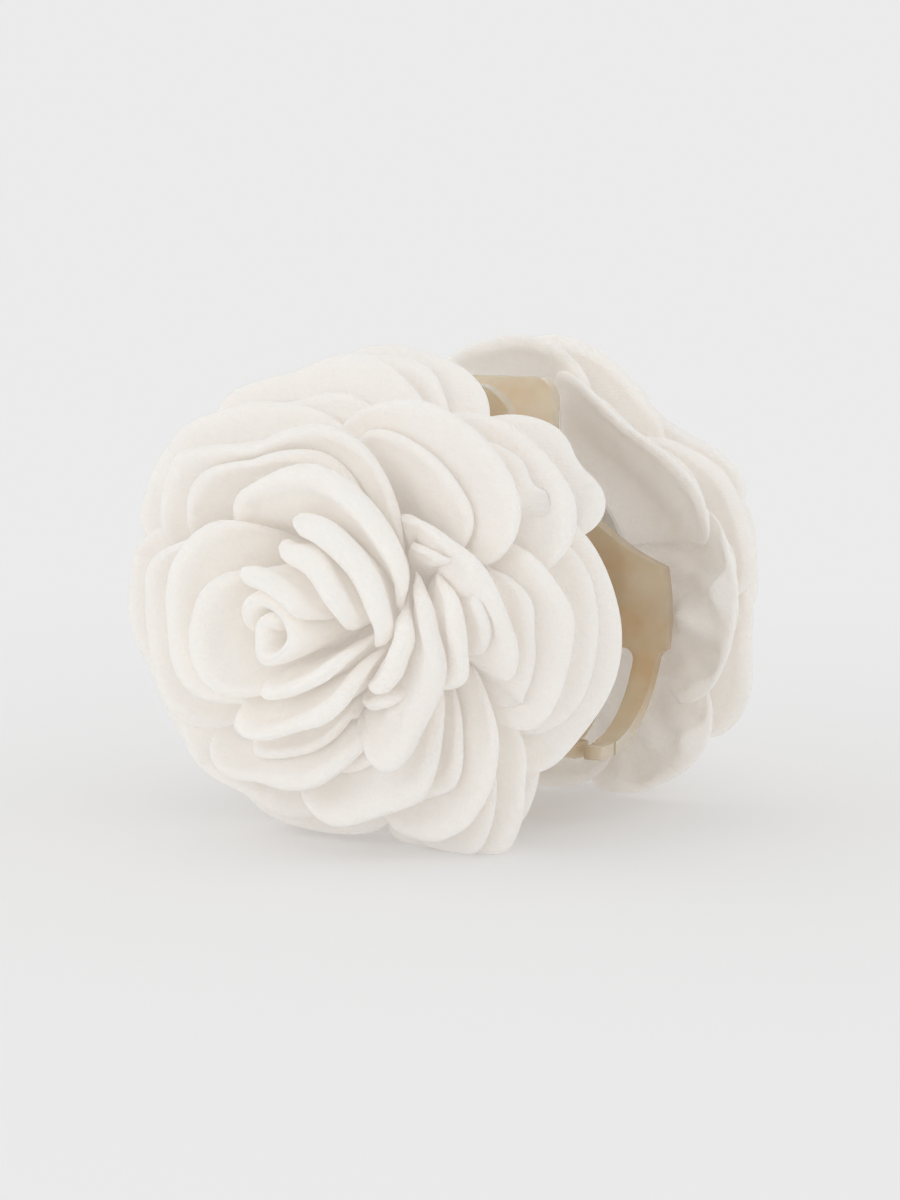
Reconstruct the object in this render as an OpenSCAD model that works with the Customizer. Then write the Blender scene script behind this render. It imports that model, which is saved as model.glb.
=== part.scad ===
// Flower hair clip: a sprung claw clip with a fabric rose glued to the outside of each jaw.
// Frame: X runs along the hinge pin, Z is up, and the lowest petals rest on Z = 0.
// The front rose faces -Y and the rear rose is the same rose turned half a turn about Z.

/* [Rose] */
// Radius of the dome that the petal rims lie on
dome_r = 40; // [36:0.1:42]
// Depth of the dome in front of its widest section
dome_depth = 36; // [30:0.5:37]
// Height of the widest section above the felt pad
dome_lift = 3.2; // [2:0.1:5]
// Width of the rose along X as a share of its height
oval = 1.05; // [1:0.01:1.1]
// Thickness of a petal at its puffed rim
rim_t = 3.0; // [2:0.1:3.2]
// Thickness of the two cloth layers where a petal is glued down
root_t = 0.6; // [0.4:0.05:0.7]
// How far a petal's rim drops at its gathered ends, as a share of its length
rim_drop = 0.22; // [0.1:0.01:0.35]
// Gap between two petals that meet end to end
petal_gap = 0.5; // [0.3:0.1:1]
// How far the lowest petals are pressed in by the table
press_depth = 1.5; // [0.5:0.1:2]

/* [Claw] */
// Length of the claw along the hinge
claw_length = 59; // [50:1:62]
// Outer radius of the closed jaws
jaw_r = 22; // [20:0.5:22]
// Wall thickness of the jaws and levers
wall = 2.2; // [1.8:0.1:2.6]
// Height of the hinge pin
hinge_z = 55; // [53:0.5:56]
// Height of the top of the levers
lever_top_z = 74; // [70:0.5:75]
// Width of a lever at its root
lever_root_w = 33; // [30:1:36]
// Width of a lever at its top
lever_top_w = 28; // [24:1:30]
// Spacing of the teeth
tooth_pitch = 8.6; // [8:0.1:9]
// Gap between two teeth at their roots
slot_root_w = 4.4; // [4:0.1:5]
// Gap between two teeth at their tips
slot_tip_w = 5.4; // [5:0.1:6]
// How far the tips pass the middle plane
tooth_reach = 3.2; // [2:0.1:3.5]

/* [Hinge] */
// Diameter of the hinge pin
pin_d = 2.0; // [1.6:0.1:2.4]
// Radial play of the turning jaw on the pin
pin_play = 0.06; // [0.03:0.01:0.1]
// Outer diameter of the knuckles
knuckle_d = 6.2; // [5.6:0.1:7]
// Length of one knuckle
knuckle_l = 4.6; // [4:0.1:5]
// Side gap between two knuckles
knuckle_gap = 0.3; // [0.2:0.05:0.5]
// Diameter of the spring wire
wire_d = 0.9; // [0.7:0.05:1]
// Mean radius of the spring coil
coil_r = 1.8; // [1.7:0.05:2]
// Length of the spring coil along the pin
coil_l = 4.6; // [4:0.1:6]
// Whole turns in the coil before the legs leave it
coil_turns = 4; // [3:1:5]
// Height at which the spring legs end
leg_top_z = 64; // [62:0.5:66]

/* [Joining] */
// Radius of a felt pad
felt_r = 20; // [18:0.5:21]
// Thickness of a felt pad
felt_t = 1.2; // [1:0.1:1.4]
// Thinnest part of the glue between a jaw and its felt pad
glue_t = 1.0; // [0.8:0.1:1.2]
// Radius of the glue bead
glue_r = 9; // [7:0.5:10]

/* [Hidden] */
fine = 96;
// Petals outside the bud, from the inside out: place of the middle round the rose (0 is right, 90 is up),
// half width, and the angle of the rim from the rose's axis at the clockwise and anticlockwise ends.
PETALS = [
    [341, 42, 41, 37], [104, 50, 42, 56], [190, 35, 45, 43], [262, 36, 56, 40],
    [19, 31, 58, 43], [296, 32, 56, 48], [187, 30, 60, 62], [308, 26, 66, 62],
    [58, 30, 64, 62], [359, 28, 71, 70], [124, 33, 70, 70], [243, 27, 66, 68],
    [43, 24, 78, 76], [98, 30, 82, 80], [155, 26, 86, 86], [206, 24, 84, 82], [255, 24, 80, 80],
    [303, 23, 84, 78],
    [352, 32, 92, 92], [42, 18, 98, 92], [82, 22, 92, 94], [134, 29, 103, 103], [188, 24, 101, 101],
    [231, 18, 93, 93], [285, 34, 97, 97]
];
// Small petals rolled round the core of the bud, given in the same way
BUD_PETALS = [
    [92, 50, 12.5, 15], [200, 52, 21, 17], [305, 48, 15, 20], [62, 44, 19.5, 22], [48, 52, 26.5, 27.5],
    [80, 56, 33.5, 35], [186, 50, 32, 28], [288, 50, 29, 25], [356, 24, 45, 44.5], [348, 28, 32.3, 31.9]
];
// The rim angles that the nested layers are worked out between
first_angle = 10;
last_angle = 107;
// Base radius of the innermost and outermost layers on the felt
first_base_r = 2.4;
last_base_r = 19;
// Direction of a layer from the rose's axis, where it leaves the felt and at its rim
base_lean = [4, 50];
rim_lean = [15, 146];
// Length of the handles that round each layer, as a share of its length
handle = 0.42;
// How sharply the rim turns down at its ends, and how quickly a petal thickens towards its rim
drop_power = 3;
puff_power = 2;
// Cells of a petal's surface across its width and from root to rim
across = 8;
along = 5;
// Height below which the table presses the petals
press_z = 3.5;

jaw_z = hinge_z - jaw_r;
jaw_inner_r = jaw_r - wall;
knuckle_r = knuckle_d / 2;
// Room cut in each jaw round the other jaw's knuckles
knuckle_room = knuckle_r + 0.35;
felt_y = jaw_r + glue_t;
face_y = felt_y + felt_t;
// Half the room between the inner knuckles, where the spring sits
spring_half = 6.7;
pin_l = 2 * (spring_half + 2 * knuckle_l + knuckle_gap) + 0.8;
// Levers are arcs of a large circle, so that they meet when the clip is fully open
lever_r = 60;
lever_centre = [61, hinge_z - 12];
lever_corner_r = 6;
lever_corner_lift = 0.2;
tooth_root_z = 25;
shoulder_r = 19.5;
shoulder_centre = [claw_length / 2 + 6.5, hinge_z + 5];
SIDES = ["front", "rear"];
REAR_TEETH = [-3, -2, -1, 0, 1, 2, 3];
FRONT_TEETH = [-2.5, -1.5, -0.5, 0.5, 1.5, 2.5];
PETAL_COLOUR = [0.95, 0.94, 0.91];
CLAW_COLOUR = [0.86, 0.76, 0.6, 0.8];

function two_digits(n) = n < 10 ? str("0", n) : str(n);
function petal_node(side, i) = str(side, "_petal_", two_digits(i + 1));

// ---- The nested layers that the petals are cut from ----
function mix(a, b, t) = a + (b - a) * t;
function depth_share(angle) = (angle - first_angle) / (last_angle - first_angle);
function lean(a) = [sin(a), cos(a)];
function rim_point(angle) = [dome_r * sin(angle), dome_lift + dome_depth * cos(angle)];
function layer_handles(angle) =
    let (
        k = depth_share(angle),
        root = [mix(first_base_r, last_base_r, k), 0],
        rim = rim_point(angle),
        reach = handle * norm(rim - root)
    )
    [
        root,
        root + reach * lean(mix(base_lean[0], base_lean[1], k)),
        rim - reach * lean(mix(rim_lean[0], rim_lean[1], k)),
        rim
    ];
// Radius and height above the felt of a layer, at a share v of the way from root to rim
function on_layer(p, v) =
    pow(1 - v, 3) * p[0] + 3 * pow(1 - v, 2) * v * p[1] + 3 * (1 - v) * v * v * p[2] + v * v * v * p[3];
function layer_slope(p, v) =
    pow(1 - v, 2) * (p[1] - p[0]) + 2 * (1 - v) * v * (p[2] - p[1]) + v * v * (p[3] - p[2]);
// Unit direction across the thickness: level at the felt, square to the layer elsewhere
function layer_normal(p, v) =
    let (d = layer_slope(p, v))
    v == 0 ? [1, 0] : [d[1], -d[0]] / norm(d);

// ---- One petal as a closed surface ----
function rim_share(s) = 1 - rim_drop * pow(abs(s), drop_power);
function petal_t(v) = mix(root_t, rim_t, pow(v, puff_power));
// Point of a petal in the rose's frame: s runs from -1 to 1 across it, v from root to rim, and
// side is -1 on the face towards the bud and 1 on the other face
function petal_point(petal, s, v, side) =
    let (
        p = layer_handles(mix(petal[2], petal[3], (s + 1) / 2)),
        share = v * rim_share(s),
        q = on_layer(p, share) + side * petal_t(share) / 2 * layer_normal(p, share),
        gap = petal_gap / 2 / rim_point(max(petal[2], 20))[0] * 180 / PI,
        a = petal[0] + (petal[1] - gap) * s
    )
    [oval * q[0] * cos(a), q[0] * sin(a), q[1]];
function petal_points(petal) = [
    for (side = [-1, 1]) for (i = [0 : across]) for (j = [0 : along])
        petal_point(petal, 2 * i / across - 1, j / along, side)
];
// Height of the rose's middle: its lowest petal is pressed into the table by press_depth
rose_z = -min([for (petal = PETALS) for (p = petal_points(petal)) p[1]]) - press_depth;
function pressed(z) = z >= press_z ? z : z + press_depth * pow((press_z - z) / (press_z + press_depth), 2);
function front_place(p) = [p[0], -(face_y + p[2]), pressed(rose_z + p[1])];

function grid_index(side, i, j) = side * (across + 1) * (along + 1) + i * (along + 1) + j;
function two_triangles(a, b, c, d) = [[a, b, c], [a, c, d]];
petal_faces = [
    for (i = [0 : across - 1]) for (j = [0 : along - 1]) each two_triangles(
        grid_index(0, i, j), grid_index(0, i + 1, j), grid_index(0, i + 1, j + 1), grid_index(0, i, j + 1)),
    for (i = [0 : across - 1]) for (j = [0 : along - 1]) each two_triangles(
        grid_index(1, i, j + 1), grid_index(1, i + 1, j + 1), grid_index(1, i + 1, j), grid_index(1, i, j)),
    for (i = [0 : across - 1]) each two_triangles(
        grid_index(1, i, 0), grid_index(1, i + 1, 0), grid_index(0, i + 1, 0), grid_index(0, i, 0)),
    for (i = [0 : across - 1]) each two_triangles(
        grid_index(0, i, along), grid_index(0, i + 1, along),
        grid_index(1, i + 1, along), grid_index(1, i, along)),
    for (j = [0 : along - 1]) each two_triangles(
        grid_index(0, 0, j), grid_index(0, 0, j + 1), grid_index(1, 0, j + 1), grid_index(1, 0, j)),
    for (j = [0 : along - 1]) each two_triangles(
        grid_index(1, across, j), grid_index(1, across, j + 1),
        grid_index(0, across, j + 1), grid_index(0, across, j))
];

// The rear half is the front half turned half a turn about Z
module on_side(side) {
    if (side == "rear") rotate([0, 0, 180]) children();
    else children();
}

module petal(side, shape) {
    color(PETAL_COLOUR)
        on_side(side)
            polyhedron(points = [for (p = petal_points(shape)) front_place(p)], faces = petal_faces, convexity = 4);
}

// Solid core of the rolled bud, with its small petals round it
module bud(side) {
    color(PETAL_COLOUR) on_side(side)
        translate([0, -face_y, rose_z]) rotate([90, 0, 0])
            rotate_extrude($fn = 48) polygon([
                [0, 0], [1.6, 0], [2.0, 20], [3.4, 31], [3.2, 34.5], [0, dome_lift + dome_depth - 1]
            ]);
    for (shape = BUD_PETALS) petal(side, shape);
}

module felt_pad(side) {
    color([0.92, 0.91, 0.88]) on_side(side)
        translate([0, -felt_y, rose_z]) rotate([90, 0, 0])
            cylinder(r = felt_r, h = felt_t, $fn = fine);
}

// Glue between the round back of a jaw and its flat felt pad
module glue_bead(side) {
    color([0.93, 0.88, 0.76, 0.8]) on_side(side)
        difference() {
            translate([0, -felt_y, jaw_z + 2]) rotate([-90, 0, 0])
                cylinder(r = glue_r, h = felt_y - jaw_r / 2, $fn = fine);
            translate([0, 0, jaw_z]) along_hinge(claw_length) circle(r = jaw_r, $fn = fine);
        }
}

// ---- The claw ----
// Extrudes a profile drawn in the Y-Z plane evenly to both sides along X
module along_hinge(length) {
    translate([-length / 2, 0, 0]) rotate([90, 0, 90]) linear_extrude(length) children();
}

// Closed jaw seen along the hinge, from the hinge round the belly to the tips
module jaw_profile() {
    intersection() {
        translate([0, jaw_z]) difference() {
            circle(r = jaw_r, $fn = fine);
            circle(r = jaw_inner_r, $fn = fine);
        }
        polygon([
            [-tooth_reach, 0], [jaw_r + 1, 0], [jaw_r + 1, hinge_z + 2],
            [0.5, hinge_z + 2], [0.5, jaw_z], [-tooth_reach, jaw_z]
        ]);
    }
}

module slot() {
    translate([0, tooth_root_z]) circle(d = slot_root_w, $fn = 32);
    polygon([
        [-slot_root_w / 2, tooth_root_z], [slot_root_w / 2, tooth_root_z],
        [slot_tip_w / 2, 0], [-slot_tip_w / 2, 0]
    ]);
}

// Jaw seen from the front: a body with concave shoulders above, and teeth below
module jaw_outline(teeth) {
    last_tooth = teeth[len(teeth) - 1] * tooth_pitch;
    half = claw_length / 2;
    difference() {
        translate([-half, 1]) square([claw_length, hinge_z + 1]);
        for (turn = [-1, 1]) {
            translate([turn * shoulder_centre[0], shoulder_centre[1]]) circle(r = shoulder_r, $fn = fine);
            translate([turn * (last_tooth + tooth_pitch / 2), 0]) slot();
            translate([turn * (last_tooth + tooth_pitch / 2) + (turn - 1) / 2 * tooth_pitch, 0])
                square([tooth_pitch, tooth_root_z + slot_root_w / 2]);
        }
        for (k = [0 : len(teeth) - 2]) translate([(teeth[k] + 0.5) * tooth_pitch, 0]) slot();
    }
}

// Jaw seen from above: round tooth tips that pass the middle plane
module jaw_plan(teeth) {
    tip_r = (tooth_pitch - slot_tip_w) / 2;
    translate([-claw_length, tooth_reach]) square([2 * claw_length, jaw_r]);
    for (tooth = teeth) translate([tooth * tooth_pitch, 0]) {
        translate([0, tip_r - tooth_reach]) circle(r = tip_r, $fn = 32);
        translate([-tip_r, tip_r - tooth_reach]) square([2 * tip_r, 2 * tooth_reach]);
    }
}

module lever_profile() {
    intersection() {
        translate(lever_centre) difference() {
            circle(r = lever_r, $fn = 4 * fine);
            circle(r = lever_r - wall, $fn = 4 * fine);
        }
        translate([1, hinge_z + 1]) square([jaw_r, lever_top_z - hinge_z - 1]);
    }
}

// The corner circles rise a little past the top edge, so that they cross it instead of touching it
module lever_outline() {
    corner_z = lever_top_z + lever_corner_lift - lever_corner_r;
    corner_x = lever_top_w / 2 - lever_corner_r;
    polygon([
        [-lever_root_w / 2, hinge_z + 1], [lever_root_w / 2, hinge_z + 1],
        [lever_top_w / 2, corner_z], [-lever_top_w / 2, corner_z]
    ]);
    for (turn = [-1, 1]) translate([turn * corner_x, corner_z]) circle(r = lever_corner_r, $fn = 48);
    translate([-corner_x, corner_z]) square([2 * corner_x, lever_corner_r]);
}

// Web that ties a knuckle to its jaw and lever
module web_profile() {
    polygon([
        [0, hinge_z - 2.8], [0, hinge_z + 2.8], [4.2, hinge_z + 5.4], [6, hinge_z + 5.4],
        [9.5, hinge_z - 2.2], [6.5, hinge_z - 3.6]
    ]);
}

// One jaw drawn on the +Y side, with its own teeth and a knuckle centred at knuckle_x on each side
module jaw(teeth, knuckle_x, bore_r) {
    difference() {
        union() {
            difference() {
                union() {
                    intersection() {
                        along_hinge(claw_length) jaw_profile();
                        rotate([90, 0, 0]) linear_extrude(4 * jaw_r, center = true) jaw_outline(teeth);
                        linear_extrude(2 * hinge_z) jaw_plan(teeth);
                    }
                    intersection() {
                        along_hinge(claw_length) lever_profile();
                        rotate([90, 0, 0]) linear_extrude(4 * jaw_r, center = true) lever_outline();
                    }
                }
                translate([0, 0, hinge_z]) along_hinge(2 * claw_length) circle(r = knuckle_room, $fn = 48);
            }
            for (turn = [-1, 1]) translate([turn * knuckle_x, 0, 0]) {
                along_hinge(knuckle_l) web_profile();
                translate([0, 0, hinge_z]) along_hinge(knuckle_l) circle(d = knuckle_d, $fn = 48);
            }
        }
        translate([0, 0, hinge_z]) along_hinge(2 * claw_length) circle(r = bore_r, $fn = 48);
    }
}

module front_jaw() {
    color(CLAW_COLOUR) mirror([0, 1, 0])
        jaw(FRONT_TEETH, spring_half + 1.5 * knuckle_l + knuckle_gap, pin_d / 2);
}

module rear_jaw() {
    color(CLAW_COLOUR)
        jaw(REAR_TEETH, spring_half + 0.5 * knuckle_l, pin_d / 2 + pin_play);
}

module hinge_pin() {
    color("silver") translate([0, 0, hinge_z]) along_hinge(pin_l) circle(d = pin_d, $fn = 48);
}

// ---- The spring: a coil round the pin with a leg up the inside of each lever ----
leg_rise = leg_top_z - hinge_z;
leg_gap = 0.62;
// Where a leg ends, just inside the lever's inner face
leg_out = lever_centre[0] - sqrt(pow(lever_r, 2) - pow(leg_top_z - lever_centre[1], 2)) - wire_d / 2 - leg_gap;
leg_angle = atan2(leg_rise, leg_out);
// Angle from a leg's end to the point where it leaves the coil
leave_angle = acos(coil_r / norm([leg_out, leg_rise]));
coil_start = 180 - leg_angle + leave_angle;
coil_end = leg_angle - leave_angle + 360 * (coil_turns + 1);
coil_steps = 20 * (coil_turns + 1);
function coil_point(t) =
    let (a = mix(coil_start, coil_end, t))
    [mix(-coil_l / 2, coil_l / 2, t), coil_r * cos(a), coil_r * sin(a)];
spring_path = concat(
    [[-coil_l / 2, -leg_out, leg_rise]],
    [for (k = [0 : coil_steps]) coil_point(k / coil_steps)],
    [[coil_l / 2, leg_out, leg_rise]]
);
wire_sides = 8;
function wire_ring(path, k) =
    let (
        before = path[max(k - 1, 0)],
        after = path[min(k + 1, len(path) - 1)],
        ahead = (after - before) / norm(after - before),
        side = cross([1, 0, 0], ahead) / norm(cross([1, 0, 0], ahead)),
        up = cross(ahead, side)
    )
    [for (m = [0 : wire_sides - 1])
        path[k] + wire_d / 2 * (cos(360 * m / wire_sides) * side + sin(360 * m / wire_sides) * up)];

module torsion_spring() {
    rings = len(spring_path);
    points = [for (k = [0 : rings - 1]) each wire_ring(spring_path, k)];
    walls = [
        for (k = [0 : rings - 2]) for (m = [0 : wire_sides - 1])
            let (n = (m + 1) % wire_sides)
            each two_triangles(k * wire_sides + m, (k + 1) * wire_sides + m,
                (k + 1) * wire_sides + n, k * wire_sides + n)
    ];
    first_cap = [for (m = [0 : wire_sides - 1]) m];
    last_cap = [for (m = [0 : wire_sides - 1]) rings * wire_sides - 1 - m];
    color("gainsboro") translate([0, 0, hinge_z])
        polyhedron(points = points, faces = concat(walls, [first_cap, last_cap]), convexity = 10);
}

front_jaw();
rear_jaw();
hinge_pin();
torsion_spring();
for (side = SIDES) {
    felt_pad(side);
    glue_bead(side);
    bud(side);
    for (i = [0 : len(PETALS) - 1]) petal(side, PETALS[i]);
}
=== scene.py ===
import math

import bmesh
import bpy
import numpy as np
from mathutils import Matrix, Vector


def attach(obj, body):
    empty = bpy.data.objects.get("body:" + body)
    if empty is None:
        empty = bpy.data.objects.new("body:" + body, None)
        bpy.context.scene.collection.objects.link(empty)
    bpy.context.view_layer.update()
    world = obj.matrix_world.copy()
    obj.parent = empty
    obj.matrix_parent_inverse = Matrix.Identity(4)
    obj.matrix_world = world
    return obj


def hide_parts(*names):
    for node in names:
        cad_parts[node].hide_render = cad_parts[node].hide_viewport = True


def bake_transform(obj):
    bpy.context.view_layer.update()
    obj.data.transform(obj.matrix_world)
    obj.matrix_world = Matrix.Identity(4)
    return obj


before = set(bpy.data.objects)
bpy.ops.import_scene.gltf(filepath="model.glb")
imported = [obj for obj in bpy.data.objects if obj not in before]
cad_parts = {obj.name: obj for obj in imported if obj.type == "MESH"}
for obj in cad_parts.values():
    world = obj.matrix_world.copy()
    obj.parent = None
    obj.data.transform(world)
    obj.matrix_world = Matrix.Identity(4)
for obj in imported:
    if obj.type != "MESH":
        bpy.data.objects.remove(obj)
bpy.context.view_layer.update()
scene = bpy.context.scene
MM = 0.001

# ---------------------------------------------------------------- sizes, in millimetres and degrees
# a layer is named by the angle of its rim from the rose's axis; these repeat the values of the CAD rose
DOME_R, DOME_DEPTH, DOME_LIFT = 40.0, 36.0, 3.2
OVAL = 1.05
FACE_Y = 24.2  # distance from the hinge's plane to the felt that the petals grow from
FIRST_ANGLE, LAST_ANGLE = 10.0, 107.0
FIRST_ROOT_R, LAST_ROOT_R = 2.4, 19.0
BASE_LEAN = (4.0, 50.0)
RIM_LEAN = (15.0, 146.0)
HANDLE = 0.42
PRESS_Z, PRESS_DEPTH = 3.5, 1.5  # petals below this height are pressed flatter by the floor
CAD_THICK, CAD_END_DROP, CAD_GAP = (0.6, 3.0), 0.22, 0.25  # thickness at root and rim, end drop, gap between
FLOOR_EASE = 0.6  # how softly the cloth meets the floor

HINGE_Z = 55.0
COIL_R, COIL_L, COIL_TURNS, WIRE_R = 1.8, 4.6, 4, 0.45
LEG_OUT, LEG_RISE = 3.725, 9.0  # end of a spring leg, outwards and upwards from the pin, on its lever

WIDER, TUCK = 1.22, 2.6  # a petal's cloth against its CAD width, and how far its ends tuck, in degrees of layer
FREE_GAP = 16.0  # degrees of layer taken as free where no other petal is near
LINING_FROM = 9.0  # degrees of free layer from which a lining stands well clear of its petal
RIM_CROWDING = 1.6  # over 1 crowds the points of a petal towards its rim
LINED_GAP = 13  # most degrees of layer that a petal and its lining take up on the bud side
BACK_LAYER, BACK_GAP = 95, 26.0  # layers past the first face backwards, where the cloth may be this much fuller

# centre angle, half width, layer at the clockwise end, layer at the anticlockwise end
PETALS = [
    (341, 42, 41, 37), (104, 50, 42, 56), (190, 35, 45, 43), (262, 36, 56, 40), (19, 31, 58, 43),
    (296, 32, 56, 48), (187, 30, 60, 62), (308, 26, 66, 62), (58, 30, 64, 62), (359, 28, 71, 70),
    (124, 33, 70, 70), (243, 27, 66, 68), (43, 24, 78, 76), (98, 30, 82, 80), (155, 26, 86, 86),
    (206, 24, 84, 82), (255, 24, 80, 80), (303, 23, 84, 78), (352, 32, 92, 92), (42, 18, 98, 92),
    (82, 22, 92, 94), (134, 29, 103, 103), (188, 24, 101, 101), (231, 18, 93, 93), (285, 34, 97, 97),
]
BUD_PETALS = [
    (92, 50, 12.5, 15), (200, 52, 21, 17), (305, 48, 15, 20), (62, 44, 19.5, 22), (48, 52, 26.5, 27.5),
    (80, 56, 33.5, 35), (186, 50, 32, 28), (288, 50, 29, 25), (356, 24, 45, 44.5),
    (348, 28, 32.3, 31.9),
]
# how a petal differs from the plain shape: share of its length added all along (lift), or at the anticlockwise
# end and taken from the other (skew), how sharply each end comes to a point (points), half the thickness of its
# edge (edge), and the height of the pleats on its outer face (pleat)
LOOK = {
    1: dict(points=(0.10, 0.34), lift=0.03),
    2: dict(skew=0.03, points=(0.40, 0.12), lift=0.02),
    3: dict(points=(0.16, 0.24)),
    4: dict(points=(0.18, 0.30), skew=-0.03),
    5: dict(skew=-0.02, points=(0.08, 0.36), lift=0.03),
    6: dict(points=(0.10, 0.34), skew=-0.03),
    7: dict(skew=-0.04, lift=0.03),
    8: dict(points=(0.10, 0.36), skew=-0.02),
    9: dict(skew=-0.03, lift=0.03, edge=1.2, points=(0.08, 0.30)),
    10: dict(skew=0.02, points=(0.12, 0.36)),
    11: dict(skew=0.10, lift=0.03, points=(0.34, 0.10)),
    12: dict(points=(0.12, 0.30)),
    13: dict(skew=-0.02, lift=0.03, points=(0.10, 0.34)),
    14: dict(skew=0.04, lift=0.05, points=(0.30, 0.14)),
    15: dict(skew=0.05, points=(0.26, 0.14)),
    16: dict(skew=0.05, lift=0.03),
    18: dict(skew=-0.08, lift=0.07, points=(0.14, 0.34)),
    19: dict(skew=0.03, lift=0.02, points=(0.12, 0.30)),
    20: dict(skew=-0.03, lift=0.03),
    21: dict(skew=0.05, lift=0.07, points=(0.20, 0.20)),
    22: dict(lift=0.05, points=(0.14, 0.14)),
    23: dict(skew=-0.04, lift=0.05, pleat=1.9),
    24: dict(skew=0.08, lift=0.08, points=(0.30, 0.14), pleat=1.6),
    25: dict(pleat=0.8),
}


def mix(a, b, t):
    return a + (b - a) * t


def smooth(a, b, x):
    t = np.clip((x - a) / (b - a), 0, 1)
    return t * t * (3 - 2 * t)


def layer(theta):
    """The four Bezier points (radius, height above the felt) of the layers with those rim angles."""
    a = np.radians(theta)
    k = (theta - FIRST_ANGLE) / (LAST_ANGLE - FIRST_ANGLE)
    root = np.stack([mix(FIRST_ROOT_R, LAST_ROOT_R, k), np.zeros_like(k)], -1)
    rim = np.stack([DOME_R * np.sin(a), DOME_LIFT + DOME_DEPTH * np.cos(a)], -1)
    reach = HANDLE * np.linalg.norm(rim - root, axis=-1, keepdims=True)
    base_lean = np.radians(mix(BASE_LEAN[0], BASE_LEAN[1], k))
    rim_lean = np.radians(mix(RIM_LEAN[0], RIM_LEAN[1], k))
    p1 = root + reach * np.stack([np.sin(base_lean), np.cos(base_lean)], -1)
    p2 = rim - reach * np.stack([np.sin(rim_lean), np.cos(rim_lean)], -1)
    return root, p1, p2, rim


def on_layer(p, v):
    v = v[..., None]
    q = 1 - v
    return q**3 * p[0] + 3 * q**2 * v * p[1] + 3 * q * v**2 * p[2] + v**3 * p[3]


def layer_normal(p, v):
    v = v[..., None]
    d = (1 - v) ** 2 * (p[1] - p[0]) + 2 * (1 - v) * v * (p[2] - p[1]) + v**2 * (p[3] - p[2])
    d /= np.linalg.norm(d, axis=-1, keepdims=True)
    return np.stack([d[..., 1], -d[..., 0]], -1)


def wave(x, seed, terms=4):
    """A smooth, repeatable wavy line of x with height about 1."""
    rng = np.random.default_rng(seed)
    out = np.zeros_like(x)
    for n in range(terms):
        height = math.sin(seed * 12.9 + n * 4.1)
        out = out + height * np.sin((n + 1) * x + rng.uniform(0, 6.28)) / (n + 1) ** 0.5
    return out


def pressed(z):
    """Heights after the floor has flattened what hangs below it."""
    return np.where(z >= PRESS_Z, z, z + PRESS_DEPTH * ((PRESS_Z - z) / (PRESS_Z + PRESS_DEPTH)) ** 2)


def coarse_low(petal):
    """Lowest point of a CAD petal below the rose's middle, which sets the height of the middle."""
    s = np.linspace(-1, 1, 9)[:, None] + np.zeros((1, 6))
    v = np.linspace(0, 1, 6)[None, :] + np.zeros((9, 1))
    share = v * (1 - CAD_END_DROP * np.abs(s) ** 3)
    p = layer(mix(petal[2], petal[3], (s + 1) / 2))
    t = mix(*CAD_THICK, share**2)
    gap = math.degrees(CAD_GAP / (DOME_R * math.sin(math.radians(max(petal[2], 20)))))
    a = np.radians(petal[0] + (petal[1] - gap) * s)
    low = []
    for side in (-1, 1):
        q = on_layer(p, share) + side * t[..., None] / 2 * layer_normal(p, share)
        low.append((q[..., 0] * np.sin(a)).min())
    return min(low)


ROSE_Z = -min(coarse_low(petal) for petal in PETALS) - PRESS_DEPTH  # height of the rose's middle


def cloth_layer(petal, line):
    """Layer of a petal's cloth at each place across it, -1 to 1. It is wider than the CAD petal, and its
    anticlockwise end tucks outwards and its clockwise end inwards."""
    return mix(petal[2], petal[3], (line * WIDER + 1) / 2) + TUCK * np.sign(line) * np.abs(line) ** 6


def layer_at(petal, phi):
    """Layer of a petal's cloth at each direction phi, in degrees, and NaN where the petal isn't."""
    line = ((phi - petal[0] + 180) % 360 - 180) / (petal[1] * WIDER)
    return np.where(np.abs(line) <= 1, cloth_layer(petal, line), np.nan)


def free_gaps(petal, phi, theta):
    """Degrees of layer free outside and inside a petal at each place across it, smoothed along it."""
    outer, inner = np.full(phi.shape, FREE_GAP), np.full(phi.shape, FREE_GAP)
    for other in PETALS + BUD_PETALS:
        if other[2:] == petal[2:] and abs(other[0] - petal[0]) < 6:
            continue
        gap = layer_at(other, phi) - theta
        outer = np.fmin(outer, np.where(gap > 0, gap, np.nan))
        inner = np.fmin(inner, np.where(gap < 0, -gap, np.nan))
    inner = np.minimum(inner, np.maximum(theta - 8, 1))
    kernel = np.hanning(9) / np.hanning(9).sum()
    return [np.convolve(np.pad(row, 4, mode="edge"), kernel, mode="valid") for row in (outer, inner)]


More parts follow.
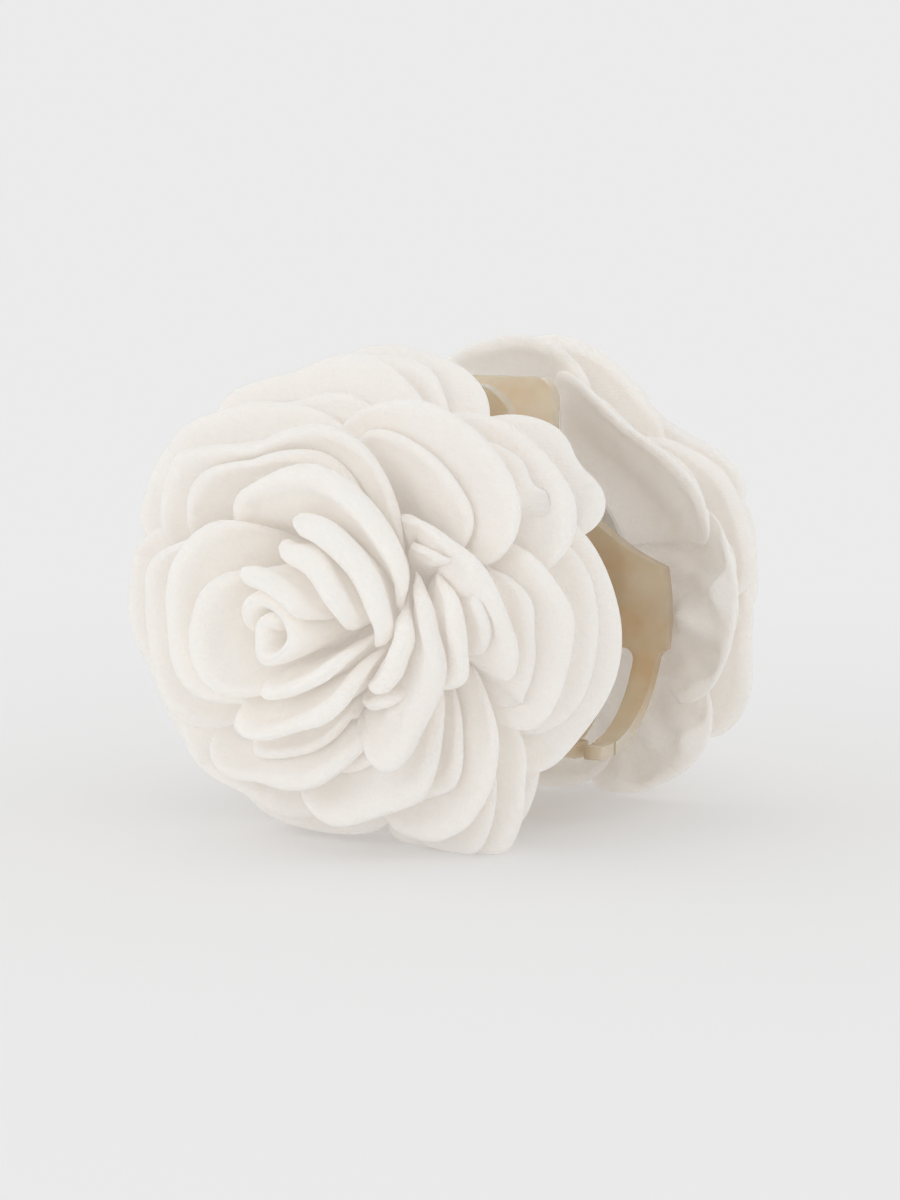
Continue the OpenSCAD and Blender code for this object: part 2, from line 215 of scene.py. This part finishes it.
def petal_grid(petal, seed, across=48, along=22, points=(0.14, 0.30), edge=1.35, skew=0.0, lift=0.0, pleat=0.0,
               double=False, lining=False):
    """Points (across+1, 2*along+1, 3) in metres: for each place across the petal, a loop from its root up
    the face towards the bud, over the rim, and down the other face. A double petal leaves room for its own
    lining, which lies on its bud side and is lower and narrower."""
    if lining:
        petal = (petal[0] + 4 * math.sin(3.7 * seed), petal[1] * 0.86, petal[2], petal[3])
        lift, points = lift - 0.085 - 0.035 * math.sin(2.3 * seed), (points[0] + 0.08, points[1] + 0.06)
        seed, pleat = seed + 60, 0.0
    line = np.linspace(-1, 1, across + 1)
    line = np.sign(line) * np.abs(line) ** 0.85
    mid_layer = cloth_layer(petal, line)
    outer, inner = free_gaps(petal, petal[0] + petal[1] * WIDER * line, mid_layer)
    out_share, in_share = 1.0, 1.0
    if double or lining:
        roomy = smooth(LINING_FROM - 2, LINING_FROM, inner)
        inner = np.minimum(inner, LINED_GAP)
        outer = np.where((mid_layer > BACK_LAYER) & (outer > 14), BACK_GAP, outer)
        if lining:
            mid_layer = mid_layer - mix(0.12, 0.33, roomy) * inner
            outer, inner, out_share = inner, inner, mix(0.05, 0.20, roomy)
            in_share = mix(0.10, 0.28, roomy)
        else:
            in_share = mix(1.0, 0.30, roomy)
    # s runs across the petal and v from its root to its rim; side is -1 on the bud's face and 1 on the other
    s = line[:, None] + np.zeros((1, 2 * along + 1))
    j = np.linspace(-1, 1, 2 * along + 1)[None, :] + np.zeros((across + 1, 1))
    side = np.sign(j)
    v = 1 - np.abs(j) ** RIM_CROWDING
    out = np.abs(s)
    # outline: how much shorter than its layer the petal is at each place across it
    point = np.where(s < 0, points[0], points[1])
    blunt = np.clip((0.30 - point) / 0.22, 0, 1)
    fall = 0.02 * out**2 + point * out ** mix(2.6, 5.0, blunt) + 0.14 * blunt * out**12
    fall = fall - lift - skew * s * (1 - 0.5 * out**4)
    rim_wave = 0.016 * wave(2.2 * s, seed, 3) + 0.003 * wave(5 * s, seed + 3, 2)
    share = np.clip(v * (1 - fall + rim_wave * (1 - out**2)), 0, 1.12)
    theta = mid_layer[:, None] + 0.45 * wave(2.2 * s + 1, seed + 7) * v
    p = layer(theta)
    length = np.linalg.norm(p[3] - p[0], axis=-1)
    # thickness: a share of the free space, thinner in the outer layers
    fill = mix(0.92, 0.50, smooth(50, 80, theta))
    per_degree = np.linalg.norm(on_layer(layer(theta + 1), v) - on_layer(p, v), axis=-1)
    gap = np.where(side < 0, (in_share * inner)[:, None], (out_share * outer)[:, None])
    thick = 0.5 * fill * (np.clip(gap, 0.5, 12) + np.clip(gap - 12, 0, 14) * smooth(0.25, 0.6, v)) * per_degree
    thick = thick * mix(0.5, 1.0, smooth(0.1, 0.8, v))
    rim_half = np.minimum(0.25 * (inner + np.minimum(outer, 14))[:, None] * fill * 0.72, edge)
    narrowing = smooth(mix(0.66, 0.45, smooth(45, 75, theta)), 0.97, v)
    thick = thick * (1 - narrowing) + np.minimum(thick, rim_half) * narrowing
    # rounded rim and ends
    cap_from = 1 - np.clip(1.25 * rim_half, 0.8, 4.5) / length
    over = np.clip((v - cap_from) / (1 - cap_from), 0, 1)
    cap = np.sqrt(np.clip(1 - over**2, 0, 1))
    side_cap = np.clip(1 - out ** mix(2.0, 5.0, blunt), 0, 1) ** 0.75
    # rolled bead along the rim with a groove behind it, and pleats on the outer face
    from_rim = (1 - v) * length
    bead = 0.32 * np.exp(-((from_rim - 1.3) / 0.8) ** 2) - 0.34 * np.exp(-((from_rim - 3.6) / 1.3) ** 2)
    pleats = np.sin(6 * s + 5 * v + seed) + 0.5 * np.sin(13 * s - 4 * v + 2 * seed)
    pleats = np.where(side > 0, pleat * pleats * smooth(0.3, 0.6, v) * (1 - smooth(0.9, 1.0, v)), 0)
    half = np.maximum(thick + np.minimum(1, thick) * bead + pleats, 0.3 * thick)
    half = half * cap * (0.05 + 0.95 * side_cap)
    # soft folds that run up from the root and gather towards the pointed end
    room = np.minimum(np.minimum(inner, outer)[:, None], 10) * per_degree
    folds = np.sin(s * 9 + 2.5 * v + seed) * mix(0.3, 1.0, smooth(0.2, 0.9, out))
    folds = folds + 0.9 * wave(4 * s + 2 * v, seed + 5, 3)
    folds = 0.040 * room * folds * smooth(0.15, 0.6, v) * (1 - smooth(0.85, 1.0, v) * 0.6) * (1 - out**4)
    q = on_layer(p, share) + (side * half + folds)[..., None] * layer_normal(p, share)
    a = np.radians(petal[0] + petal[1] * WIDER * s * mix(0.85, 1.0, v))
    x = OVAL * q[..., 0] * np.cos(a)
    up = q[..., 0] * np.sin(a)
    z = pressed(ROSE_Z + up)
    return np.stack([x, -(FACE_Y + q[..., 1]), z], -1) * MM


def grid_faces(rows, cols, start=0):
    """Faces over a grid whose rows are loops open at the root: the root edge and both ends are sewn shut."""
    index = start + np.arange(rows * cols).reshape(rows, cols)
    faces = []
    for i in range(rows - 1):
        for j in range(cols - 1):
            faces.append((index[i, j], index[i + 1, j], index[i + 1, j + 1], index[i, j + 1]))
        faces.append((index[i, cols - 1], index[i + 1, cols - 1], index[i + 1, 0], index[i, 0]))
    for i, flip in ((0, True), (rows - 1, False)):
        for j in range(cols // 2):
            a, b, c, d = index[i, j], index[i, j + 1], index[i, cols - 2 - j], index[i, cols - 1 - j]
            corners = (a, b, c, d) if b != c else (a, b, d)
            faces.append(corners if flip else corners[::-1])
    return [tuple(map(int, face)) for face in faces]


def smooth_object(mesh):
    """A smooth-shaded object that shows a mesh and has its name."""
    mesh.polygons.foreach_set("use_smooth", [True] * len(mesh.polygons))
    obj = bpy.data.objects.new(mesh.name, mesh)
    scene.collection.objects.link(obj)
    return obj


def closed_mesh(name, grids, scale=1.0):
    """One mesh of closed shells, with its faces turned outwards."""
    verts, faces = [], []
    for points in grids:
        faces += grid_faces(*points.shape[:2], start=len(verts))
        verts += [tuple(map(float, v)) for v in points.reshape(-1, 3) * scale]
    mesh = bpy.data.meshes.new(name)
    mesh.from_pydata(verts, [], faces)
    bm = bmesh.new()
    bm.from_mesh(mesh)
    bmesh.ops.recalc_face_normals(bm, faces=bm.faces)
    bm.to_mesh(mesh)
    bm.free()
    return smooth_object(mesh)


# ---------------------------------------------------------------- cloth
SIM_SCALE = 10.0  # the simulation runs on a copy this many times larger
SIM_FRAMES = 20


def upsample(field, shape):
    """A field on every second row and column of a grid, brought back to the whole grid."""
    rows, cols = shape
    out = np.zeros((rows, field.shape[1], 3))
    out[::2] = field
    out[1::2] = 0.5 * (field[:-1] + field[1:])
    full = np.zeros((rows, cols, 3))
    full[:, ::2] = out
    full[:, 1::2] = 0.5 * (out[:, :-1] + out[:, 1:])
    return full


def smoothed(field):
    """A field averaged with its next neighbours along its rows and its columns."""
    for axis in (0, 1):
        padded = np.concatenate([np.take(field, [0], axis), field, np.take(field, [-1], axis)], axis)
        count = field.shape[axis]
        field = sum(w * np.take(padded, range(k, k + count), axis) for k, w in enumerate((0.25, 0.5, 0.25)))
    return field


def blown_up(grids, pressure, grow, cap):
    """The same grids after the closed cloth shells have been puffed up by a little air, held at their roots and
    ends. No point moves further than cap metres."""
    coarse = [points[::2, ::2] for points in grids]
    obj = closed_mesh("cloth_run", coarse, SIM_SCALE)
    hold = obj.vertex_groups.new(name="hold")
    start = 0
    for points in coarse:
        rows, cols = points.shape[:2]
        s = np.abs(np.linspace(-1, 1, rows))[:, None] + np.zeros((1, cols))
        v = 1 - np.abs(np.linspace(-1, 1, cols))[None, :] ** RIM_CROWDING + np.zeros((rows, 1))
        weight = np.maximum(1 - smooth(0.25, 0.62, v), smooth(0.86, 1.0, s))
        for k, w in enumerate(weight.ravel()):
            hold.add([start + k], float(w), "REPLACE")
        start += rows * cols
    modifier = obj.modifiers.new("cloth", "CLOTH")
    settings = modifier.settings
    settings.quality = 4
    settings.mass = 0.3
    settings.tension_stiffness = 12
    settings.compression_stiffness = 6
    settings.shear_stiffness = 4
    settings.bending_stiffness = 0.15
    settings.tension_damping = 5
    settings.compression_damping = 5
    settings.air_damping = 3
    settings.vertex_group_mass = "hold"
    settings.shrink_min = -grow
    settings.use_pressure = True
    settings.uniform_pressure_force = pressure
    settings.effector_weights.gravity = 0
    modifier.collision_settings.use_collision = False
    modifier.collision_settings.use_self_collision = False
    modifier.point_cache.frame_start = 1
    modifier.point_cache.frame_end = SIM_FRAMES
    for number in range(1, SIM_FRAMES + 1):
        scene.frame_set(number)
    graph = bpy.context.evaluated_depsgraph_get()
    after = obj.evaluated_get(graph).data
    moved = np.zeros(len(after.vertices) * 3)
    after.vertices.foreach_get("co", moved)
    moved = moved.reshape(-1, 3) / SIM_SCALE
    scene.frame_set(1)
    bpy.data.objects.remove(obj)
    out, start = [], 0
    for points, small in zip(grids, coarse):
        rows, cols = small.shape[:2]
        shift = moved[start:start + rows * cols].reshape(rows, cols, 3) - small
        start += rows * cols
        shift = np.nan_to_num(shift)
        size = np.linalg.norm(shift, axis=-1, keepdims=True)
        shift *= cap * np.tanh(size / cap) / np.maximum(size, 1e-9)
        out.append(points + smoothed(upsample(shift, points.shape[:2])))
    return out


# ---------------------------------------------------------------- materials
THREADS = 520  # scale of the weave


def new_material(name):
    """A node material with its tree and its Principled shader."""
    material = bpy.data.materials.new(name)
    material.use_nodes = True
    tree = material.node_tree
    tree.nodes.clear()
    out = tree.nodes.new("ShaderNodeOutputMaterial")
    shader = tree.nodes.new("ShaderNodeBsdfPrincipled")
    tree.links.new(shader.outputs["BSDF"], out.inputs["Surface"])
    return material, tree, shader


def noise_node(tree, coords, scale, detail=4.0, rough=0.55):
    node = tree.nodes.new("ShaderNodeTexNoise")
    node.inputs["Scale"].default_value = scale
    node.inputs["Detail"].default_value = detail
    node.inputs["Roughness"].default_value = rough
    tree.links.new(coords, node.inputs["Vector"])
    return node


def wave_node(tree, coords, axis, scale, wander):
    node = tree.nodes.new("ShaderNodeTexWave")
    node.bands_direction = axis
    node.inputs["Scale"].default_value = scale
    node.inputs["Distortion"].default_value = wander
    node.inputs["Detail Scale"].default_value = 1.5
    tree.links.new(coords, node.inputs["Vector"])
    return node


def ramp_node(tree, factor, stops):
    node = tree.nodes.new("ShaderNodeValToRGB")
    elements = node.color_ramp.elements
    for k, (place, colour) in enumerate(stops):
        element = elements[k] if k < 2 else elements.new(place)
        element.position = place
        element.color = (*colour, 1)
    tree.links.new(factor, node.inputs["Fac"])
    return node


def bump_node(tree, height, strength, distance, after=None):
    node = tree.nodes.new("ShaderNodeBump")
    node.inputs["Strength"].default_value = strength
    node.inputs["Distance"].default_value = distance
    tree.links.new(height, node.inputs["Height"])
    if after is not None:
        tree.links.new(after.outputs["Normal"], node.inputs["Normal"])
    return node


def fabric(name, light, dark, grain, sheen, subsurface, glow=0.0):
    """Matt crepe: colour that drifts a little, a fine pebbled grain and soft creases. The glow is painted light:
    an even emission over all the cloth, standing for the light that thin pale cloth lets through, which lifts
    the shade in its folds."""
    material, tree, shader = new_material(name)
    coords = tree.nodes.new("ShaderNodeTexCoord").outputs["Object"]
    drift = noise_node(tree, coords, 55, 3)
    crease = noise_node(tree, coords, 170, 3)
    crepe = noise_node(tree, coords, grain, 5, 0.7)
    mottle = tree.nodes.new("ShaderNodeMix")
    mottle.inputs["Factor"].default_value = 0.55
    tree.links.new(drift.outputs["Fac"], mottle.inputs["A"])
    tree.links.new(crepe.outputs["Fac"], mottle.inputs["B"])
    colour = ramp_node(tree, mottle.outputs["Result"], [(0.36, dark), (0.64, light)])
    tree.links.new(colour.outputs["Color"], shader.inputs["Base Color"])
    threads = [wave_node(tree, coords, axis, THREADS, 1.5) for axis in ("X", "Z")]
    weave = tree.nodes.new("ShaderNodeMix")
    weave.inputs["Factor"].default_value = 0.5
    for thread, socket in zip(threads, ("A", "B")):
        tree.links.new(thread.outputs["Fac"], weave.inputs[socket])
    first = bump_node(tree, crease.outputs["Fac"], 0.4, 0.0012)
    second = bump_node(tree, crepe.outputs["Fac"], 0.55, 0.0006, first)
    third = bump_node(tree, weave.outputs["Result"], 0.25, 0.00012, second)
    tree.links.new(third.outputs["Normal"], shader.inputs["Normal"])
    rough = ramp_node(tree, crepe.outputs["Fac"], [(0.2, (0.78,) * 3), (0.8, (0.92,) * 3)])
    tree.links.new(rough.outputs["Color"], shader.inputs["Roughness"])
    shader.inputs["Sheen Weight"].default_value = sheen
    shader.inputs["Sheen Roughness"].default_value = 0.5
    shader.inputs["Specular IOR Level"].default_value = 0.2
    shader.inputs["Subsurface Weight"].default_value = subsurface
    shader.inputs["Subsurface Radius"].default_value = (1.0, 0.93, 0.86)
    shader.inputs["Subsurface Scale"].default_value = 0.0012
    # emission: painted light, an even glow over the cloth that lifts the shade in its creases
    shader.inputs["Emission Color"].default_value = (1.0, 0.94, 0.88, 1)
    shader.inputs["Emission Strength"].default_value = glow
    return material


def plastic(name, light, dark, clear, rough):
    """Translucent plastic with faint flow marks in its colour, surface and gloss."""
    material, tree, shader = new_material(name)
    coords = tree.nodes.new("ShaderNodeTexCoord").outputs["Object"]
    swirl = noise_node(tree, coords, 75, 3)
    middle = tuple(0.5 * (a + b) for a, b in zip(light, dark))
    colour = ramp_node(tree, swirl.outputs["Fac"], [(0.32, dark), (0.66, light), (0.48, middle)])
    tree.links.new(colour.outputs["Color"], shader.inputs["Base Color"])
    flow = noise_node(tree, coords, 120, 2)
    bump = bump_node(tree, flow.outputs["Fac"], 0.12, 0.0005)
    tree.links.new(bump.outputs["Normal"], shader.inputs["Normal"])
    smear = noise_node(tree, coords, 400, 3)
    gloss = ramp_node(tree, smear.outputs["Fac"], [(0.3, (rough,) * 3), (0.8, (rough * 2.2,) * 3)])
    tree.links.new(gloss.outputs["Color"], shader.inputs["Roughness"])
    shader.inputs["IOR"].default_value = 1.49
    shader.inputs["Coat Weight"].default_value = 0.4
    shader.inputs["Coat Roughness"].default_value = 0.08
    shader.inputs["Transmission Weight"].default_value = clear
    shader.inputs["Subsurface Weight"].default_value = 0.2
    shader.inputs["Subsurface Radius"].default_value = (1.0, 0.6, 0.3)
    shader.inputs["Subsurface Scale"].default_value = 0.004
    return material


def steel(name, colour, scale):
    """Drawn steel with fine scratches."""
    material, tree, shader = new_material(name)
    coords = tree.nodes.new("ShaderNodeTexCoord").outputs["Object"]
    scratch = noise_node(tree, coords, scale, 4)
    tone = ramp_node(tree, scratch.outputs["Fac"], [(0.3, tuple(c * 0.8 for c in colour)), (0.7, colour)])
    tree.links.new(tone.outputs["Color"], shader.inputs["Base Color"])
    rough = ramp_node(tree, scratch.outputs["Fac"], [(0.2, (0.18,) * 3), (0.8, (0.36,) * 3)])
    tree.links.new(rough.outputs["Color"], shader.inputs["Roughness"])
    bump = bump_node(tree, scratch.outputs["Fac"], 0.1, 0.0001)
    tree.links.new(bump.outputs["Normal"], shader.inputs["Normal"])
    shader.inputs["Metallic"].default_value = 1.0
    return material


# the last number of the petal and bud cloth is its painted glow, an even emission that lifts the shade in their
# folds
PETAL_CLOTH = fabric("petal_crepe", (0.965, 0.93, 0.893), (0.925, 0.885, 0.845), 1500, 0.15, 0.5, 0.10)
BUD_CLOTH = fabric("bud_crepe", (0.97, 0.937, 0.898), (0.94, 0.90, 0.855), 1500, 0.15, 0.5, 0.12)
FELT = fabric("pressed_felt", (0.88, 0.86, 0.82), (0.80, 0.78, 0.74), 1500, 0.5, 0.1)
AMBER = plastic("honey_plastic", (0.98, 0.90, 0.75), (0.90, 0.70, 0.46), 0.5, 0.10)
GLUE = plastic("clear_glue", (0.95, 0.86, 0.70), (0.90, 0.78, 0.58), 0.6, 0.08)
STEEL = steel("pin_steel", (0.72, 0.71, 0.69), 900)
WIRE = steel("spring_steel", (0.66, 0.64, 0.60), 1400)


def dress(obj, material):
    obj.data.materials.clear()
    obj.data.materials.append(material)


# ---------------------------------------------------------------- roses
DRIFTS = ((36.0, 2.6), (19.0, 0.8), (7.5, 0.2))  # wave length and height, in millimetres
DRIFT_SEEDS = {"front": 5, "rear": 23}
# direction round the rose, width in degrees and millimetres outwards at the rim of each swelling and hollow
PULLS = {
    "front": ((300, 12, 2.5), (134, 10, 3.0), (112, 9, -1.5)),
    "rear": ((128, 24, -6.0), (165, 14, -1.0), (218, 16, 3.0)),
}


def drifted(points, side):
    """A rose's points, in metres and before the rear one is turned round, after a slow wander that all its cloth
    shares, so that its petals grow uneven together. It doesn't part pieces that overlap. The felt's side and the
    floor's side stay put."""
    rng = np.random.default_rng(DRIFT_SEEDS[side])
    mm = points / MM
    above_felt = -mm[..., 1:2] - FACE_Y
    shift = np.zeros_like(mm)
    for length, height in DRIFTS:
        for _ in range(4):
            direction = rng.normal(size=3)
            direction /= np.linalg.norm(direction)
            push = rng.normal(size=3)
            push *= height / np.linalg.norm(push)
            shift += 0.5 * push * np.sin(2 * math.pi / length * mm @ direction + rng.uniform(0, 6.28))[..., None]
    shift *= smooth(1, 16, above_felt)
    shift[..., 2] *= smooth(-2, 14, mm[..., 2])
    up = mm[..., 2] - ROSE_Z
    radius = np.hypot(mm[..., 0], up)
    direction = np.degrees(np.arctan2(up, mm[..., 0]))
    for middle, width, out in PULLS[side]:
        away = (direction - middle + 180) % 360 - 180
        pull = out * np.exp(-((away / width) ** 2)) * (radius / DOME_R) ** 2 * smooth(12, 24, radius)
        shift[..., 0] += pull * np.cos(np.radians(direction))
        shift[..., 2] += pull * np.sin(np.radians(direction))
    mm = mm + shift
    mm[..., 2] = 0.5 * (mm[..., 2] + np.sqrt(mm[..., 2] ** 2 + FLOOR_EASE**2))
    return mm * MM


def turned(points):
    """Points turned half round the vertical, from the front rose to the rear one."""
    return points * np.array([-1, -1, 1])


def cloth_piece(name, points, side, material, node):
    """One piece of cloth from a closed shell, on the front or the rear rose."""
    points = drifted(points, side)
    piece = closed_mesh(name, [turned(points) if side == "rear" else points])
    dress(piece, material)
    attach(piece, side + "_half")
    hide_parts(node)


def bud_roll(turns, inner, outer, top, thick, seed, across=96, along=14):
    """A strip of cloth rolled into a spiral, as points like those of petal_grid."""
    s = np.linspace(0, 1, across + 1)[:, None] + np.zeros((1, 2 * along + 1))
    j = np.linspace(-1, 1, 2 * along + 1)[None, :] + np.zeros((across + 1, 1))
    side = np.sign(j)
    v = 1 - np.abs(j) ** 1.5
    a = 2 * math.pi * turns * s + math.radians(70)
    open_out = mix(0.25, 1.0, smooth(0.2, 1.0, v))
    r = mix(inner, outer, s) * open_out
    r = r * (1 + 0.14 * np.cos(2 * (a - math.radians(125)))) + 0.25 * open_out * np.sin(3 * a + seed)
    height = top - 0.03 * mix(inner, outer, s) ** 2 + 0.9 * np.sin(1.3 * a + seed)
    ends = np.abs(2 * s - 1)
    height = height * (1 - 0.10 * ends**10)
    cap_from = 1 - 0.7 * thick / height
    over = np.clip((v - cap_from) / (1 - cap_from), 0, 1)
    half = thick / 2 * open_out * np.sqrt(1 - over**2) * (0.1 + 0.9 * np.clip(1 - ends**12, 0, 1) ** 0.5)
    q = r + side * half
    x = OVAL * q * np.cos(a)
    z = pressed(ROSE_Z + q * np.sin(a))
    return np.stack([x, -(FACE_Y + v * height), z], -1) * MM


petal_shells = []
for n, petal in enumerate(PETALS):
    look = LOOK.get(n + 1, {})
    petal_shells.append(petal_grid(petal, n + 1, double=True, **look))
    petal_shells.append(petal_grid(petal, n + 1, lining=True, **look))
bud_shells = [petal_grid(petal, 40 + n, across=32, along=14) for n, petal in enumerate(BUD_PETALS)]
bud_shells.append(bud_roll(1.3, 1.5, 5.1, 36.6, 2.4, 1))
petal_shells = blown_up(petal_shells, 3.0, 0.05, 0.5 * MM)
bud_shells = blown_up(bud_shells, 1.5, 0.03, 0.25 * MM)
for side in ("front", "rear"):
    for n in range(len(PETALS)):
        for ply, points in zip(("cloth", "lining"), petal_shells[2 * n:2 * n + 2]):
            cloth_piece(f"{side}_petal_{n + 1:02d}_{ply}", points, side, PETAL_CLOTH,
                        f"{side}_petal_{n + 1:02d}")
    for n, points in enumerate(bud_shells[:-1]):
        cloth_piece(f"{side}_bud_cloth_{n + 1}", points, side, BUD_CLOTH, f"{side}_bud")
    cloth_piece(f"{side}_bud_roll", bud_shells[-1], side, BUD_CLOTH, f"{side}_bud")

# ---------------------------------------------------------------- claw, felt and glue
for name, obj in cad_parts.items():
    if name.endswith("_jaw"):
        dress(obj, AMBER)
    elif name.endswith("felt_pad"):
        dress(obj, FELT)
    elif name.endswith("glue_bead"):
        dress(obj, GLUE)
    elif name == "hinge_pin":
        dress(obj, STEEL)


LEG_STEPS, TURN_STEPS = 8, 28  # points along a spring leg, and round each turn


def spring_path():
    """The wire's path in millimetres about the pin: front lever's leg, coil, rear lever's leg."""
    leg_angle = math.atan2(LEG_RISE, LEG_OUT)
    leave = math.acos(COIL_R / math.hypot(LEG_OUT, LEG_RISE))
    first = math.pi - leg_angle + leave
    last = leg_angle - leave + 2 * math.pi * (COIL_TURNS + 1)
    start_out, start_up = -COIL_R * math.cos(first), COIL_R * math.sin(first)
    points = [(-COIL_L / 2, -mix(LEG_OUT, start_out, t), mix(LEG_RISE, start_up, t))
              for t in np.linspace(0, 1, LEG_STEPS + 1)[:-1]]
    for t in np.linspace(0, 1, TURN_STEPS * (COIL_TURNS + 1) + 1):
        a = mix(first, last, t)
        points.append((mix(-COIL_L / 2, COIL_L / 2, t), COIL_R * math.cos(a), COIL_R * math.sin(a)))
    end_out, end_up = COIL_R * math.cos(last), COIL_R * math.sin(last)
    points += [(COIL_L / 2, mix(end_out, LEG_OUT, t), mix(end_up, LEG_RISE, t))
               for t in np.linspace(0, 1, LEG_STEPS + 1)[1:]]
    return np.array(points)


def spring_wire():
    """Round wire swept along the spring's path, with rounded ends."""
    path = spring_path()
    steps = np.diff(path, axis=0)
    steps /= np.linalg.norm(steps, axis=1, keepdims=True)
    tangents = np.vstack([steps[:1], steps[:-1] + steps[1:], steps[-1:]])
    tangents /= np.linalg.norm(tangents, axis=1, keepdims=True)
    rings = []
    normal = np.array([1.0, 0.0, 0.0])
    last = len(path) - 1
    for k, (point, tangent) in enumerate(zip(path, tangents)):
        normal = normal - tangent * normal.dot(tangent)
        normal /= np.linalg.norm(normal)
        other = np.cross(tangent, normal)
        dome = [(WIRE_R * math.sin(a), WIRE_R * math.cos(a)) for a in np.radians((15, 40, 65))]
        if k == 0:
            extra = [(width, -out) for width, out in dome]
        elif k == last:
            extra = [(width, out) for width, out in dome[::-1]]
        else:
            extra = []
        stations = extra + [(WIRE_R, 0.0)] if k == 0 else [(WIRE_R, 0.0)] + extra
        for width, out in stations:
            turn = np.radians(np.arange(0, 360, 22.5))[:, None]
            rings.append(point + out * tangent + width * (np.cos(turn) * normal + np.sin(turn) * other))
    rings = (np.array(rings) + (0, 0, HINGE_Z)) * MM
    count, around = rings.shape[:2]
    faces = [(i * around + j, i * around + (j + 1) % around, (i + 1) * around + (j + 1) % around,
              (i + 1) * around + j) for i in range(count - 1) for j in range(around)]
    faces += [tuple(range(around))[::-1], tuple((count - 1) * around + j for j in range(around))]
    mesh = bpy.data.meshes.new("spring_wire_coil")
    mesh.from_pydata([tuple(map(float, v)) for v in rings.reshape(-1, 3)], [], faces)
    wire = smooth_object(mesh)
    dress(wire, WIRE)
    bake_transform(wire)
    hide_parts("torsion_spring")


spring_wire()

# ---------------------------------------------------------------- stage, lights and camera
FLOOR_WHITE, FLOOR_GLOW = 0.97, 0.832
GLOW_FROM, GLOW_FULL = 0.05, 0.34  # metres from the middle where the glow starts to grow, and where it is full
GLOW_LEAST = 0.25  # share of glow before that


def bowl():
    """Pale floor that curves up into a round wall: lit paper near the object, and an even glow further out."""
    flat, bend, top = 1.3, 0.9, 2.6
    profile = [(0.0, 0.0), (0.3, 0.0), (0.7, 0.0), (flat, 0.0)]
    for k in range(1, 13):
        a = math.pi / 2 * k / 12
        profile.append((flat + bend * math.sin(a), bend * (1 - math.cos(a))))
    profile.append((flat + bend, top))
    around = 72
    verts = [(r * math.cos(2 * math.pi * i / around), r * math.sin(2 * math.pi * i / around), z)
             for i in range(around) for r, z in profile]
    count = len(profile)
    starts = [(i * count, (i + 1) % around * count) for i in range(around)]
    faces = [(a + j, b + j, b + j + 1, a + j + 1) for a, b in starts for j in range(count - 1)]
    mesh = bpy.data.meshes.new("studio_floor")
    mesh.from_pydata(verts, [], faces)
    bm = bmesh.new()
    bm.from_mesh(mesh)
    bmesh.ops.remove_doubles(bm, verts=bm.verts, dist=1e-5)
    bm.to_mesh(mesh)
    bm.free()
    obj = smooth_object(mesh)
    material = bpy.data.materials.new("studio_paper")
    material.use_nodes = True
    tree = material.node_tree
    tree.nodes.clear()
    out = tree.nodes.new("ShaderNodeOutputMaterial")
    diffuse = tree.nodes.new("ShaderNodeBsdfDiffuse")
    diffuse.inputs["Color"].default_value = (*[FLOOR_WHITE] * 3, 1)
    glow = tree.nodes.new("ShaderNodeEmission")
    glow.inputs["Color"].default_value = (*[FLOOR_GLOW] * 3, 1)
    coords = tree.nodes.new("ShaderNodeTexCoord")
    length = tree.nodes.new("ShaderNodeVectorMath")
    length.operation = "LENGTH"
    tree.links.new(coords.outputs["Object"], length.inputs[0])
    fade = tree.nodes.new("ShaderNodeMapRange")
    fade.interpolation_type = "SMOOTHSTEP"
    fade.inputs["From Min"].default_value = GLOW_FROM
    fade.inputs["From Max"].default_value = GLOW_FULL
    fade.inputs["To Min"].default_value = GLOW_LEAST
    tree.links.new(length.outputs["Value"], fade.inputs["Value"])
    both = tree.nodes.new("ShaderNodeMixShader")
    tree.links.new(fade.outputs["Result"], both.inputs["Fac"])
    tree.links.new(diffuse.outputs["BSDF"], both.inputs[1])
    tree.links.new(glow.outputs["Emission"], both.inputs[2])
    tree.links.new(both.outputs["Shader"], out.inputs["Surface"])
    obj.data.materials.append(material)


bowl()


LIGHT_AIM = Vector((0, 0, 0.04))


def area_light(name, place, size, power):
    """A round soft light that points at the middle of the object."""
    data = bpy.data.lights.new(name, "AREA")
    data.shape = "DISK"
    data.size = size
    data.energy = power
    light = bpy.data.objects.new(name, data)
    light.location = place
    light.rotation_euler = (LIGHT_AIM - Vector(place)).to_track_quat("-Z", "Y").to_euler()
    scene.collection.objects.link(light)


area_light("key", (-0.35, -1.0, 0.45), 0.6, 0.7)
area_light("top", (-0.2, -0.1, 1.2), 1.0, 0.3)

world = bpy.data.worlds.new("studio")
world.use_nodes = True
world.node_tree.nodes["Background"].inputs["Color"].default_value = (1, 1, 1, 1)
world.node_tree.nodes["Background"].inputs["Strength"].default_value = 0.74
scene.world = world
scene.view_settings.view_transform = "Standard"

AZIMUTH, ELEVATION, DISTANCE = math.radians(28.0), math.radians(6.9), 0.5876
TARGET = Vector((0, 0, 0.0395))
camera_data = bpy.data.cameras.new("camera")
camera_data.lens = 103.4
camera_data.sensor_width = 36
camera_data.shift_x = -0.00983
camera_data.shift_y = -0.01558
camera = bpy.data.objects.new("camera", camera_data)
camera.location = TARGET + DISTANCE * Vector((
    math.sin(AZIMUTH) * math.cos(ELEVATION), -math.cos(AZIMUTH) * math.cos(ELEVATION), math.sin(ELEVATION)))
camera.rotation_euler = (TARGET - camera.location).to_track_quat("-Z", "Y").to_euler()
scene.collection.objects.link(camera)
scene.camera = camera
